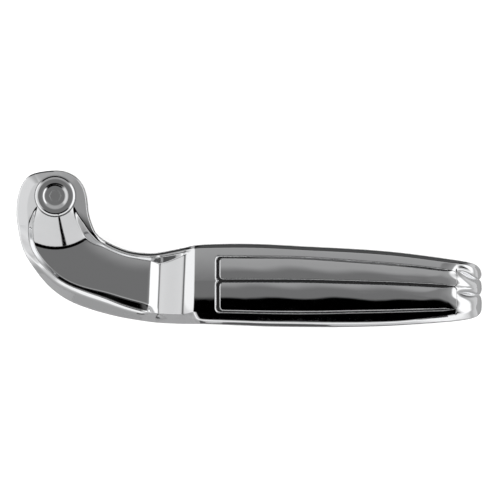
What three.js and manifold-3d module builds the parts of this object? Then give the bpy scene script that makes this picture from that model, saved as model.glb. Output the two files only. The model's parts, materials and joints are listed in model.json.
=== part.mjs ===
// Cruiser clutch lever: a forked pivot end, a curved neck, a waist and a wide blade with two
// inlaid bars, with its pivot bolt set and its cable anchor.
// Frame: millimetres. The origin is where the pivot axis meets the flat underside. +Z runs up
// along the pivot bolt towards its head, +X runs out along the blade to the tip, and +Y points
// to the handlebar.
import * as THREE from 'three';
import { mergeVertices } from 'three/addons/utils/BufferGeometryUtils.js';
import Module from 'manifold-3d';

const wasm = await Module();
wasm.setup();

// ---- driving dimensions --------------------------------------------------------------
const SEGMENTS = 40;            // facets round a turned piece
const RUNNING_GAP = 0.05;       // radial and axial clearance of parts that turn or rest

// heights of the cast lever
const Z_BOTTOM = 0;             // flat underside of the fork and of the blade's lip
const Z_BOSS = 18.5;            // seat under the pivot bolt's head
const Z_RIM = 16;               // crest of the rim round the neck
const Z_NECK = 12.6;            // recessed floor of the neck
const Z_WAIST = 11.4;           // floor of the waist, where it leaves the neck
const Z_WAIST_END = 13;         // floor of the waist, where it meets the blade
const Z_BLADE = 17;             // crown of the blade
const Z_MIDDLE = 7.5;           // height that the tip closes towards

// pivot end
const BOSS_RADIUS = 7.9;        // flat seat round the pivot
const RAMP_END = 20;            // radius where the ramp below the seat meets the neck floor
const SLOT_LOW = 6.5;           // slot for the perch's tongue
const SLOT_HIGH = 14;
const SLOT_RADIUS = 14;
const SLOT_MOUTH = -6;          // y beyond which the slot is open to all sides
const EAR_BORE = 6.05;
const NUT_BORE = 7.45;
const NUT_CEILING = 4.1;

// pivot bolt set
const SHOULDER_RADIUS = 4.75;
const SHOULDER_END = 4.05;
const THREAD_RADIUS = 3;
const HEAD_RADIUS = 7.6;
const HEAD_TOP = 20.5;
const DISH_RADIUS = 4.8;
const DISH_DEPTH = 1;
const HEX_SIZE = 4;             // across the flats of the key socket
const HEX_DEPTH = 4.5;
const NUT_SIZE = 10;            // across the flats of the nut
const NUT_LOW = 0.2;
const NUT_HIGH = 3;
const LOCK_RADIUS = 4;          // recess in the nut for its nylon ring
const LOCK_HIGH = 1.2;
const NUT_WASHER_RADIUS = 7;
const NUT_WASHER_THICKNESS = 1;
const SLEEVE_RADIUS = 6.3;
const THRUST_RADIUS = 8.8;
const THRUST_THICKNESS = 0.7;
const WAVE_LOW = SLOT_LOW + RUNNING_GAP;
const WAVE_HEIGHT = 0.8;

// cable anchor
const ANCHOR = new THREE.Vector2(6.2, -27.4);
const ANCHOR_RADIUS = 4.75;
const ANCHOR_LOW = 0.1;
const ANCHOR_TOP = 11.2;
const ANCHOR_BORE = 5.6;
const ANCHOR_FOOT_BORE = 7;
const ANCHOR_FOOT_CEILING = 1.7;
const UPPER_LINER = [9.4, 11.2];
const LOWER_LINER = [1.8, 4.6];
const ANCHOR_WASHER = [1.1, 1.65];
const CLIP = [0.45, 1];
const CLIP_RADIUS = 5.9;
const GROOVE = [0.4, 1.05];
const GROOVE_RADIUS = 4.2;
const CABLE_Z = 7;
const CABLE_SLOT = 4.5;
const CABLE_REACH = 26;
const CABLE_HOLE = 1.3;         // radius of the hole for the cable's strand
const CABLE_END_HOLE = 2.6;     // radius of the pocket for the cable's end
const SWING = THREE.MathUtils.degToRad(25);

// blade
const INLAY_FLOOR = 12.2;       // floor of the pockets that hold the two bars
const INLAY_GAP = 0.35;         // gap all round each bar
const POCKET_START = 60.7;
const BAR_START = 62.2;
const BAR_END = 152;
const HOLLOW_CEILING = 9;
const HOLLOW_START = 57;
const HOLLOW_END = 154;
const SCREW_X = [82, 130];
const SCREW_RADIUS = 1.5;
const SCREW_HEAD_RADIUS = 2.75;
const SCREW_HEAD = 2;
const SCREW_SOCKET = 2;         // across the flats of a bar screw's key socket
const SCREW_TIP = 14.2;
const TIP_START = 150;          // where the blade begins to close to its tip
const TIP_REACH = 13;

// Stations along the lever, each a line from its rear edge to its front edge: [x, y] twice.
// Station 0 crosses below the pivot, 7 to 10 bound the waist and 21 is the tip's end face.
const STATIONS = [
  [13.6, -11, -14.4, -11], [15, -14, -12.6, -19.5], [17, -15.9, -8.6, -26.9],
  [19.7, -17.6, -2.4, -34.5], [23, -19.2, 6, -40.3], [27.2, -20.7, 16, -43.9],
  [31.5, -21.5, 26, -46.3], [36, -21.8, 34.8, -47.7], [40, -21.4, 38.8, -48.2],
  [49.6, -19.4, 48.4, -48.6], [52.9, -18.7, 52.3, -48.6], [61, -18.2, 61, -48.8],
  [77, -18.2, 77, -49.5], [93, -19, 93, -49.8], [109, -19.8, 109, -49.8],
  [125, -20.9, 125, -49.4], [138.5, -22.4, 138.5, -48.6], [152, -24.3, 152, -47.5],
  [157, -25.2, 157, -46.8], [159.8, -26.3, 159.8, -46], [161.4, -28, 161.4, -44.6],
  [162, -29.8, 162, -43.2],
];
// The rounded end above the pivot, from the rear edge round to the front edge.
const HEAD = [
  [12.3, -6.5], [11.6, -0.5], [9.8, 4.6], [6.2, 8.2], [1.5, 9.6], [-4, 9.4],
  [-8.9, 8.3], [-11.2, 6.6], [-13.3, 3], [-14.5, -2], [-14.8, -6.5],
];
const LAST = STATIONS.length - 1;

// Widths of the rims, as [station, value] pairs: the crest's distance from the edge, and the
// width of the bevel from the crest down to the floor.
const REAR_CREST = [[0, 2.4], [1, 1.6], [7, 1.5], [8, 1.7], [19, 1.6], [LAST, 1]];
const REAR_BEVEL = [[0, 2], [1, 2], [3, 0.7], [6, 0.8], [8, 2.3], [9, 0.8], [18, 0.8], [LAST, 0.3]];
const REAR_RISE = [[0, 1], [1, 1], [3, 0.4], [6, 0.5], [8, 1], [LAST, 1]];
const FRONT_CREST = [
  [0, 4.3], [1, 3], [2, 2.7], [4, 4.1], [5, 4.8], [7, 3.5], [9, 3.7], [10, 4.8], [18, 4.8], [LAST, 2],
];
const FRONT_BEVEL = [[0, 2.2], [3, 2.2], [4, 3], [5, 2.8], [6, 3.8], [8, 2], [10, 1], [18, 1], [LAST, 0.5]];
const FRONT_RISE = [[0, 1], [6, 1], [7.5, 0.3], [9.5, 0.3], [10, 1], [LAST, 1]];
const HEAD_REAR_CREST = 4.9;    // crest distances where the rims leave the seat
const HEAD_FRONT_CREST = 7.6;
const HEAD_RIM_START = -4;      // y where the rims leave the seat

// Lines across the blade, as [x, y]: the grooves on each side of the two bars.
const REAR_GROOVE = [[61, -22.9], [93, -23.1], [131, -25.9], [152, -28.4]];
const MIDDLE_GROOVE = [[61, -32.2], [93, -32.2], [131, -33.3], [152, -34.5]];
const FRONT_GROOVE = [[61, -44.1], [93, -44.7], [131, -43.9], [152, -43.2]];
const TIP_NOTCHES = [-31.7, -37.6];

// ---- small helpers -------------------------------------------------------------------
const lerp = THREE.MathUtils.lerp;
const clamp = THREE.MathUtils.clamp;

// The value at x of a line through [x, value] pairs.
function along(pairs, x) {
  if (x <= pairs[0][0]) return pairs[0][1];
  for (let i = 1; i < pairs.length; i += 1) {
    const [x0, v0] = pairs[i - 1];
    const [x1, v1] = pairs[i];
    if (x <= x1) return lerp(v0, v1, (x - x0) / (x1 - x0));
  }
  return pairs[pairs.length - 1][1];
}

// How far a rounded edge lies below its crest, at distance d from the edge.
function rounding(d, width, height) {
  const t = clamp(1 - d / width, 0, 1);
  return height * (1 - Math.sqrt(1 - t * t));
}

function toSolid(geometry) {
  const bare = geometry.clone();
  bare.deleteAttribute('normal');
  bare.deleteAttribute('uv');
  const merged = mergeVertices(bare, 1e-4);
  return new wasm.Manifold(new wasm.Mesh({
    numProp: 3,
    vertProperties: new Float32Array(merged.attributes.position.array),
    triVerts: new Uint32Array(merged.index.array),
  }));
}

function toGeometry(solid) {
  const mesh = solid.getMesh();
  const geometry = new THREE.BufferGeometry();
  geometry.setAttribute('position', new THREE.BufferAttribute(mesh.vertProperties, 3));
  geometry.setIndex(new THREE.BufferAttribute(mesh.triVerts, 1));
  geometry.computeVertexNormals();
  return geometry;
}

// A solid turned about an upright axis through (x, y), from a closed [radius, z] profile.
function turned(profile, x = 0, y = 0, segments = SEGMENTS) {
  const points = profile.map(([r, z]) => new THREE.Vector2(r, z));
  const geometry = new THREE.LatheGeometry(points, segments);
  geometry.rotateX(Math.PI / 2);
  geometry.translate(x, y, 0);
  return toSolid(geometry);
}

function disc(radius, low, high, x = 0, y = 0, segments = SEGMENTS) {
  return turned([[0, low], [radius, low], [radius, high], [0, high]], x, y, segments);
}

function ring(inner, outer, low, high, x = 0, y = 0, segments = SEGMENTS) {
  const profile = [[inner, low], [outer, low], [outer, high], [inner, high], [inner, low]];
  return turned(profile, x, y, segments);
}

// An upright prism with the given [x, y] outline.
function prism(outline, low, high) {
  const shape = new THREE.Shape(outline.map(([x, y]) => new THREE.Vector2(x, y)));
  const geometry = new THREE.ExtrudeGeometry(shape, { depth: high - low, bevelEnabled: false });
  geometry.translate(0, 0, low);
  return toSolid(geometry);
}

// ---- the lever's outline and surfaces ------------------------------------------------
const OUTLINE = new THREE.CatmullRomCurve3([
  ...STATIONS.map(([x, y]) => new THREE.Vector3(x, y, 0)).reverse(),
  ...HEAD.map(([x, y]) => new THREE.Vector3(x, y, 0)),
  ...STATIONS.map(([, , x, y]) => new THREE.Vector3(x, y, 0)),
], false, 'centripetal');
const SPANS = OUTLINE.points.length - 1;
const HEAD_SPANS = HEAD.length + 1;

const rearEdge = (station) => OUTLINE.getPoint((LAST - station) / SPANS);
const frontEdge = (station) => OUTLINE.getPoint((LAST + HEAD_SPANS + station) / SPANS);
const headEdge = (t) => OUTLINE.getPoint((LAST + t * HEAD_SPANS) / SPANS);

// Points close together along the two halves of the outline, for measuring from the edge.
const HALF = LAST + HEAD_SPANS * 0.45;
const REAR_LINE = [];
const FRONT_LINE = [];
for (let i = 0; i <= SPANS * 6; i += 1) {
  const point = OUTLINE.getPoint(i / (SPANS * 6));
  (i / 6 <= HALF ? REAR_LINE : FRONT_LINE).push([point.x, point.y]);
}

function distanceTo(line, x, y) {
  let best = Infinity;
  for (let i = 1; i < line.length; i += 1) {
    const [x0, y0] = line[i - 1];
    const [dx, dy] = [line[i][0] - x0, line[i][1] - y0];
    const t = clamp(((x - x0) * dx + (y - y0) * dy) / (dx * dx + dy * dy), 0, 1);
    best = Math.min(best, Math.hypot(x0 + t * dx - x, y0 + t * dy - y));
  }
  return best;
}

// How much of the rim's height is left, from 1 on the crest to 0 at the bevel's foot.
const rimShare = (d, crest, bevel) => clamp(1 - (d - crest) / bevel, 0, 1);

// Height of the neck: a rim along each edge, and a ramp from the pivot's seat to the floor.
function neckHeight(x, y, station, rear, front) {
  const r = Math.hypot(x, y);
  const near = clamp((RAMP_END - r) / (RAMP_END - BOSS_RADIUS), 0, 1);
  const crest = lerp(Z_RIM, Z_BOSS, near);
  const floor = lerp(Z_NECK, Z_BOSS, near);
  const out = clamp((y - HEAD_RIM_START) / (STATIONS[0][1] - HEAD_RIM_START), 0, 1);
  const rearCrest = lerp(HEAD_REAR_CREST, along(REAR_CREST, station), out);
  const frontCrest = lerp(HEAD_FRONT_CREST, along(FRONT_CREST, station), out);
  let share = Math.max(
    rimShare(rear, rearCrest, along(REAR_BEVEL, station)) * along(REAR_RISE, station),
    rimShare(front, frontCrest, along(FRONT_BEVEL, station)) * along(FRONT_RISE, station),
  );
  if (y > HEAD_RIM_START) share = 1;
  return lerp(floor, crest, share);
}

// Height of the blade's crowned top.
function bladeHeight(x, y) {
  const middle = lerp(-30, -33, clamp((x - 60) / 90, 0, 1));
  const away = y - middle;
  const sag = away > 0 ? (away * away) / 110 : (away * away) / 56;
  return Z_BLADE - sag - 1.2 * clamp((x - 110) / 50, 0, 1) ** 2;
}

// How far the rounded edges lie below the top. It fades out at the flat seat of the pivot bolt.
function edgeDrop(x, y, station, rear, front) {
  const blade = clamp(station - 9, 0, 1);
  const out = clamp((y - HEAD_RIM_START) / (STATIONS[0][1] - HEAD_RIM_START), 0, 1);
  const rearWidth = lerp(lerp(2.2, along(REAR_CREST, station), out), 1.6, blade);
  const frontWidth = lerp(3.2, along(FRONT_CREST, station), out);
  const rearHeight = lerp(lerp(2.2, 3, out), 2.5, blade);
  const frontHeight = lerp(lerp(2.4, 3.5, out), 4.8, blade);
  const drop = rounding(rear, rearWidth, rearHeight) + rounding(front, frontWidth, frontHeight);
  return drop * clamp((Math.hypot(x, y) - BOSS_RADIUS) / 1.4, 0, 1);
}

// The top surface. The station is 0 or less on the rounded head.
function topHeight(x, y, station) {
  const rear = distanceTo(REAR_LINE, x, y);
  const front = distanceTo(FRONT_LINE, x, y);
  let z = neckHeight(x, y, station, rear, front);
  if (station > 7) {
    const rimRear = rimShare(rear, along(REAR_CREST, station), along(REAR_BEVEL, station));
    const floor = lerp(Z_WAIST, Z_WAIST_END, clamp(station - 8, 0, 1));
    const waist = lerp(floor, Z_RIM, rimRear * clamp(10 - station, 0, 1));
    z = lerp(z, waist, clamp(station - 7, 0, 1));
  }
  if (station > 9) z = lerp(z, bladeHeight(x, y), clamp(station - 9, 0, 1));
  z -= edgeDrop(x, y, station, rear, front);
  if (station > 17) {
    for (const notch of TIP_NOTCHES) {
      const near = clamp(1 - Math.abs(y - notch) / 1.4, 0, 1);
      z -= 1.3 * near * clamp((station - 17) / 2, 0, 1);
    }
  }
  return closeTip(x, z);
}

function bottomHeight(x, y, station) {
  const rear = distanceTo(REAR_LINE, x, y);
  const front = distanceTo(FRONT_LINE, x, y);
  const blade = clamp(station - 9, 0, 1);
  const lift = rounding(rear, 1.5, 1.5) + rounding(front, lerp(1.5, 3, blade), lerp(1.5, 3, blade));
  return closeTip(x, Z_BOTTOM + lift);
}

function closeTip(x, z) {
  const t = clamp((x - TIP_START) / TIP_REACH, 0, 1);
  return lerp(Z_MIDDLE, z, Math.sqrt(1 - t * t));
}

// ---- the lever's blank: a plan of points, raised to the top and the bottom surface ------
const REAR_ROUND = [0, 0.1, 0.4];
const FRONT_ROUND = [0.62, 0.3, 0.08, 0];
const INNER_ROWS = 5;

// Shares of the width at which a station's points lie, from the rear edge to the front edge.
function rowShares(station, width) {
  const s = Math.max(station, 0);
  const rearCrest = along(REAR_CREST, s);
  const rearFoot = rearCrest + along(REAR_BEVEL, s);
  const frontCrest = along(FRONT_CREST, s);
  const frontFoot = frontCrest + along(FRONT_BEVEL, s);
  const shares = REAR_ROUND.map((t) => (t * rearCrest) / width);
  shares.push(rearCrest / width, rearFoot / width);
  for (let i = 1; i <= INNER_ROWS; i += 1) {
    shares.push(lerp(rearFoot, width - frontFoot, i / (INNER_ROWS + 1)) / width);
  }
  shares.push(1 - frontFoot / width, 1 - frontCrest / width);
  for (const t of FRONT_ROUND) shares.push(1 - (t * frontCrest) / width);
  return shares;
}

function stationRow(station) {
  const rear = rearEdge(station);
  const front = frontEdge(station);
  const row = rowShares(station, rear.distanceTo(front)).map((share) => rear.clone().lerp(front, share));
  const onTip = clamp((station - 17) / 2, 0, 1);
  if (onTip > 0) bendToNotches(row, onTip, 0.9 * clamp(station - 19.5, 0, 1));
  return row.map(({ x, y }) => [x, y]);
}

// On the tip two rows follow the notches between the three lobes, and the others make room.
function bendToNotches(row, share, depth) {
  const [first, second] = TIP_NOTCHES;
  const [rearCrest, frontCrest] = [row[3].y, row[11].y];
  const places = [
    lerp(rearCrest, first, 0.5), first, lerp(first, second, 0.33), lerp(first, second, 0.67),
    second, lerp(second, frontCrest, 0.33), lerp(second, frontCrest, 0.67),
  ];
  places.forEach((y, i) => { row[4 + i].y = lerp(row[4 + i].y, y, share); });
  row[5].x -= depth;
  row[8].x -= depth;
}

const STEPS = [2, 2, 2, 2, 2, 2, 2, 1, 3, 1, 2, 2, 2, 2, 2, 2, 2, 2, 2, 2, 1];

function leverBlank() {
  const points = [];
  const faces = [];
  const add = (x, y, station) => points.push([x, y, station]) - 1;
  const quad = (a, b, c, d) => faces.push([a, b, c], [a, c, d]);

  const rows = [];
  STEPS.forEach((steps, station) => {
    for (let i = 0; i < steps; i += 1) rows.push(station + i / steps);
  });
  rows.push(LAST);
  const grid = rows.map((station) => stationRow(station).map(([x, y]) => add(x, y, station)));
  for (let i = 1; i < grid.length; i += 1) {
    for (let j = 1; j < grid[i].length; j += 1) {
      quad(grid[i - 1][j - 1], grid[i - 1][j], grid[i][j], grid[i][j - 1]);
    }
  }

  // The head: spokes from the pivot to station 0 and round the outline back to it.
  const spokes = grid[0].map((index) => ({ index, x: points[index][0], y: points[index][1] }));
  const turns = 24;
  for (let i = turns - 1; i > 0; i -= 1) {
    const point = headEdge(i / turns);
    spokes.push({ index: -1, x: point.x, y: point.y });
  }
  const centre = add(0, 0, -1);
  const lowerCount = grid[0].length;
  const ringShares = [0.5, 1];
  const webs = spokes.map((spoke, k) => {
    const length = Math.hypot(spoke.x, spoke.y);
    const at = (d) => add((spoke.x * d) / length, (spoke.y * d) / length, -1);
    const line = ringShares.map((share) => at(BOSS_RADIUS * share));
    const inward = k > 0 && k < lowerCount - 1;
    const left = length - BOSS_RADIUS;
    const marks = inward ? [0.2, 0.4, 0.6, 0.8] : [0.35, 0.65, 0.85, 0.96];
    for (const mark of marks) line.push(at(BOSS_RADIUS + left * mark));
    line.push(spoke.index >= 0 ? spoke.index : add(spoke.x, spoke.y, -1));
    return line;
  });
  for (let k = 0; k < webs.length; k += 1) {
    const here = webs[k];
    const next = webs[(k + 1) % webs.length];
    faces.push([centre, next[0], here[0]]);
    for (let j = 1; j < here.length; j += 1) quad(here[j - 1], next[j - 1], next[j], here[j]);
  }
  return raise(points, faces, topHeight, bottomHeight);
}

// A closed solid from plan points: the top surface, the bottom surface and the side wall.
function raise(points, faces, top, bottom) {
  const count = points.length;
  const positions = [];
  for (const [x, y, mark] of points) positions.push(x, y, top(x, y, mark));
  for (const [x, y, mark] of points) positions.push(x, y, bottom(x, y, mark));
  const indices = [];
  const edges = new Set();
  for (const face of faces) {
    for (let i = 0; i < 3; i += 1) edges.add(`${face[i]},${face[(i + 1) % 3]}`);
  }
  const [a, b, c] = faces[0];
  const area = (points[b][0] - points[a][0]) * (points[c][1] - points[a][1])
    - (points[b][1] - points[a][1]) * (points[c][0] - points[a][0]);
  const turn = area > 0 ? ([p, q, r]) => [p, q, r] : ([p, q, r]) => [p, r, q];
  for (const face of faces) {
    const [p, q, r] = turn(face);
    indices.push(p, q, r, p + count, r + count, q + count);
  }
  for (const edge of edges) {
    const [p, q] = edge.split(',').map(Number);
    if (edges.has(`${q},${p}`)) continue;
    const [from, to] = area > 0 ? [p, q] : [q, p];
    indices.push(from, from + count, to + count, from, to + count, to);
  }
  const geometry = new THREE.BufferGeometry();
  geometry.setAttribute('position', new THREE.Float32BufferAttribute(positions, 3));
  geometry.setIndex(indices);
  return toSolid(geometry);
}

// ---- cuts in the blank ----------------------------------------------------------------
function pivotCuts() {
  const beyond = 20;
  const mouth = [[-beyond, SLOT_MOUTH], [beyond, SLOT_MOUTH], [beyond, beyond], [-beyond, beyond]];
  const tongue = disc(SLOT_RADIUS, SLOT_LOW, SLOT_HIGH, 0, 0, 64).add(prism(mouth, SLOT_LOW, SLOT_HIGH));
  return tongue
    .add(disc(EAR_BORE, NUT_CEILING, Z_BOSS + 1))
    .add(disc(NUT_BORE, Z_BOTTOM - 1, NUT_CEILING));
}

function anchorCuts() {
  const { x, y } = ANCHOR;
  const half = CABLE_SLOT / 2;
  const turnedUp = [x - CABLE_REACH * Math.cos(SWING), y + CABLE_REACH * Math.sin(SWING)];
  const fan = prism([
    [x, y - half], [x - CABLE_REACH, y - half],
    [turnedUp[0] - half * Math.sin(SWING), turnedUp[1] + half * Math.cos(SWING)],
    [x + half * Math.sin(SWING), y + half * Math.cos(SWING)],
  ], CABLE_Z - half, CABLE_Z + half);
  return fan
    .add(disc(ANCHOR_BORE, Z_BOTTOM - 1, ANCHOR_TOP + 0.2, x, y))
    .add(disc(ANCHOR_FOOT_BORE, Z_BOTTOM - 1, ANCHOR_FOOT_CEILING, x, y));
}

// The outline between two lines from one x to another, moved in by a margin at each line, with
// its corners cut.
function between([upper, upperIn], [lower, lowerIn], start, end, corner) {
  const steps = 10;
  const top = (x) => upper(x) - upperIn;
  const bottom = (x) => lower(x) + lowerIn;
  const places = Array.from({ length: steps + 1 }, (_, i) => lerp(start + corner, end - corner, i / steps));
  return [
    [start, bottom(start) + corner], ...places.map((x) => [x, bottom(x)]), [end, bottom(end) + corner],
    [end, top(end) - corner], ...places.reverse().map((x) => [x, top(x)]), [start, top(start) - corner],
  ];
}

const rearGroove = (x) => along(REAR_GROOVE, x);
const middleGroove = (x) => along(MIDDLE_GROOVE, x);
const frontGroove = (x) => along(FRONT_GROOVE, x);
const BARS = [
  { side: 'rear', upper: rearGroove, lower: middleGroove, upperEdge: 0.1, lowerEdge: -0.15 },
  { side: 'front', upper: middleGroove, lower: frontGroove, upperEdge: -0.15, lowerEdge: 0.1 },
];
const CORNER = 1.55;
const middleOf = (bar, x) => (bar.upper(x) + bar.lower(x)) / 2;

function bladeCuts() {
  const edges = STATIONS.slice(9);
  const rear = (x) => along(edges.map(([a, b]) => [a, b]), x);
  const front = (x) => along(edges.map(([, , a, b]) => [a, b]), x);
  const hollow = between([rear, 4], [front, 4], HOLLOW_START, HOLLOW_END, 3);
  let cut = prism(hollow, Z_BOTTOM - 1, HOLLOW_CEILING);
  for (const bar of BARS) {
    const outline = between(
      [bar.upper, bar.upperEdge], [bar.lower, bar.lowerEdge], POCKET_START, BAR_END + INLAY_GAP, CORNER,
    );
    cut = cut.add(prism(outline, INLAY_FLOOR, Z_BLADE + 3));
    for (const x of SCREW_X) {
      const hole = disc(SCREW_RADIUS + 0.1, HOLLOW_CEILING - 1, INLAY_FLOOR + 1, x, middleOf(bar, x), 16);
      cut = cut.add(hole);
    }
  }
  return cut;
}

const leverBody = () => leverBlank().subtract(pivotCuts()).subtract(anchorCuts()).subtract(bladeCuts());

// A blade bar: its plan between two grooves, crowned like the blade, with two screw holes.
function bladeBar(bar) {
  const inset = 0.1 + INLAY_GAP;
  const outline = between([bar.upper, inset], [bar.lower, inset], BAR_START, BAR_END, CORNER);
  let solid = prism(outline, INLAY_FLOOR + RUNNING_GAP, Z_BLADE + 2).intersect(crownUnder(bar));
  for (const x of SCREW_X) {
    const hole = disc(SCREW_RADIUS + 0.1, INLAY_FLOOR - 1, SCREW_TIP + 0.2, x, middleOf(bar, x), 16);
    solid = solid.subtract(hole);
  }
  return solid;
}

// Everything below the crown of one bar, which stands a little proud between its grooves.
function crownUnder({ upper, lower }) {
  const across = 6;
  const lengths = 12;
  const points = [];
  const faces = [];
  for (let i = 0; i <= lengths; i += 1) {
    const x = lerp(BAR_START - 1, BAR_END + 1, i / lengths);
    for (let j = 0; j <= across; j += 1) {
      points.push([x, lerp(upper(x) + 0.5, lower(x) - 0.5, j / across), (2 * j) / across - 1]);
    }
  }
  for (let i = 0; i < lengths; i += 1) {
    for (let j = 0; j < across; j += 1) {
      const corner = i * (across + 1) + j;
      faces.push([corner, corner + 1, corner + across + 2]);
      faces.push([corner, corner + across + 2, corner + across + 1]);
    }
  }
  const top = (x, y, side) => closeTip(x, bladeHeight(x, y) + 0.5 - 0.8 * side ** 4);
  return raise(points, faces, top, () => INLAY_FLOOR - 2);
}

// ---- pivot bolt set -------------------------------------------------------------------
const hexagon = (flats, x = 0, y = 0) => Array.from({ length: 6 }, (_, i) => {
  const angle = (i * Math.PI) / 3;
  const r = flats / Math.sqrt(3);
  return [x + r * Math.cos(angle), y + r * Math.sin(angle)];
});

function pivotBolt() {
  const head = Z_BOSS + RUNNING_GAP;
  const body = turned([
    [0, Z_BOTTOM], [THREAD_RADIUS - 0.4, Z_BOTTOM], [THREAD_RADIUS, Z_BOTTOM + 0.4],
    [THREAD_RADIUS, SHOULDER_END],
    [SHOULDER_RADIUS, SHOULDER_END], [SHOULDER_RADIUS, head], [HEAD_RADIUS, head],
    [HEAD_RADIUS, HEAD_TOP - 0.7], [HEAD_RADIUS - 0.2, HEAD_TOP - 0.2], [HEAD_RADIUS - 0.7, HEAD_TOP],
    [DISH_RADIUS, HEAD_TOP], [DISH_RADIUS - 0.5, HEAD_TOP - 0.7 * DISH_DEPTH],
    [DISH_RADIUS - 1.1, HEAD_TOP - DISH_DEPTH], [0, HEAD_TOP - DISH_DEPTH],
  ]);
  return body.subtract(prism(hexagon(HEX_SIZE), HEAD_TOP - HEX_DEPTH, HEAD_TOP));
}

function pivotNut() {
  const nut = prism(hexagon(NUT_SIZE), NUT_LOW, NUT_HIGH);
  const bore = disc(THREAD_RADIUS + RUNNING_GAP, NUT_LOW - 1, NUT_HIGH + 1);
  return nut.subtract(bore).subtract(disc(LOCK_RADIUS, NUT_LOW - 1, LOCK_HIGH));
}

// The sleeve is as long as the slot is high. The tongue turns on it, between the washers.
function pivotSleeve() {
  return ring(SHOULDER_RADIUS + RUNNING_GAP, SLEEVE_RADIUS, SLOT_LOW + RUNNING_GAP, SLOT_HIGH - RUNNING_GAP);
}

function thrustWasher(low) {
  return ring(SLEEVE_RADIUS + 0.1, THRUST_RADIUS, low, low + THRUST_THICKNESS);
}

// A thin spring ring with three waves.
function waveWasher() {
  const thickness = 0.35;
  const [inner, outer] = [SLEEVE_RADIUS + 0.2, THRUST_RADIUS - 0.3];
  const profile = [[inner, 0], [outer, 0], [outer, thickness], [inner, thickness], [inner, 0]];
  const points = profile.map(([r, z]) => new THREE.Vector2(r, z));
  const geometry = new THREE.LatheGeometry(points, 48);
  geometry.rotateX(Math.PI / 2);
  const position = geometry.attributes.position;
  const swell = (WAVE_HEIGHT - thickness) / 2;
  for (let i = 0; i < position.count; i += 1) {
    const angle = Math.atan2(position.getY(i), position.getX(i));
    position.setZ(i, position.getZ(i) + WAVE_LOW + swell * (1 + Math.cos(3 * angle)));
  }
  return toSolid(geometry);
}

// ---- cable anchor ---------------------------------------------------------------------
function anchorPin() {
  const { x, y } = ANCHOR;
  const [grooveLow, grooveHigh] = GROOVE;
  const body = turned([
    [0, ANCHOR_LOW], [ANCHOR_RADIUS - 0.4, ANCHOR_LOW], [ANCHOR_RADIUS, grooveLow],
    [GROOVE_RADIUS, grooveLow], [GROOVE_RADIUS, grooveHigh], [ANCHOR_RADIUS, grooveHigh],
    [ANCHOR_RADIUS, ANCHOR_TOP - 0.4], [ANCHOR_RADIUS - 0.4, ANCHOR_TOP], [0, ANCHOR_TOP],
  ], x, y);
  const hole = (radius, from, to) => {
    const geometry = new THREE.CylinderGeometry(radius, radius, to - from, 20);
    geometry.rotateZ(Math.PI / 2);
    geometry.translate(x + (from + to) / 2, y, CABLE_Z);
    return toSolid(geometry);
  };
  return body.subtract(hole(CABLE_HOLE, -6, 1)).subtract(hole(CABLE_END_HOLE, -0.5, 6));
}

function anchorClip() {
  const { x, y } = ANCHOR;
  const opening = prism([[x, y], [x + 8, y - 3.5], [x + 8, y + 3.5]], Z_BOTTOM - 1, Z_BOTTOM + 2);
  return ring(GROOVE_RADIUS + RUNNING_GAP, CLIP_RADIUS, ...CLIP, x, y).subtract(opening);
}

// ---- materials ------------------------------------------------------------------------
const metal = (color, roughness) => new THREE.MeshStandardMaterial({ color, roughness, metalness: 1 });
const chrome = metal(0xd8dadd, 0.06);
const steel = metal(0x9a9da1, 0.3);
const zinc = metal(0xb4b7ba, 0.25);
const bronze = metal(0xa9814f, 0.35);
const nylon = new THREE.MeshStandardMaterial({ color: 0xe6e3da, roughness: 0.5, metalness: 0 });

// ---- assembly -------------------------------------------------------------------------
const lever = new THREE.Group();
function place(name, solid, material) {
  const mesh = new THREE.Mesh(toGeometry(solid), material);
  mesh.name = name;
  lever.add(mesh);
}

place('lever_body', leverBody(), chrome);
for (const bar of BARS) {
  place(`${bar.side}_blade_bar`, bladeBar(bar), chrome);
  SCREW_X.forEach((x, i) => {
    const y = middleOf(bar, x);
    const top = HOLLOW_CEILING - RUNNING_GAP;
    const screw = turned([
      [0, top - SCREW_HEAD], [SCREW_HEAD_RADIUS, top - SCREW_HEAD], [SCREW_HEAD_RADIUS, top],
      [SCREW_RADIUS, top], [SCREW_RADIUS, SCREW_TIP], [0, SCREW_TIP],
    ], x, y, 24);
    const socket = prism(hexagon(SCREW_SOCKET, x, y), top - SCREW_HEAD - 1, top - SCREW_HEAD + 1.2);
    place(`${bar.side}_bar_screw_${i + 1}`, screw.subtract(socket), zinc);
  });
}

const bush = [SHOULDER_RADIUS + RUNNING_GAP, EAR_BORE - RUNNING_GAP];
place('upper_pivot_bush', ring(...bush, SLOT_HIGH, Z_BOSS), bronze);
place('lower_pivot_bush', ring(...bush, NUT_CEILING, SLOT_LOW), bronze);

place('pivot_bolt', pivotBolt(), chrome);
place('pivot_sleeve', pivotSleeve(), steel);
place('upper_thrust_washer', thrustWasher(SLOT_HIGH - RUNNING_GAP - THRUST_THICKNESS), nylon);
place('lower_thrust_washer', thrustWasher(WAVE_LOW + WAVE_HEIGHT + RUNNING_GAP), nylon);
place('wave_washer', waveWasher(), steel);
const onThread = THREAD_RADIUS + RUNNING_GAP;
const nutWasherLow = SHOULDER_END - NUT_WASHER_THICKNESS;
place('nut_washer', ring(onThread, NUT_WASHER_RADIUS, nutWasherLow, SHOULDER_END), zinc);
place('pivot_nut', pivotNut(), zinc);
const lockRing = ring(onThread, LOCK_RADIUS - RUNNING_GAP, NUT_LOW + RUNNING_GAP, LOCK_HIGH - RUNNING_GAP);
place('nut_lock_ring', lockRing, nylon);

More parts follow.
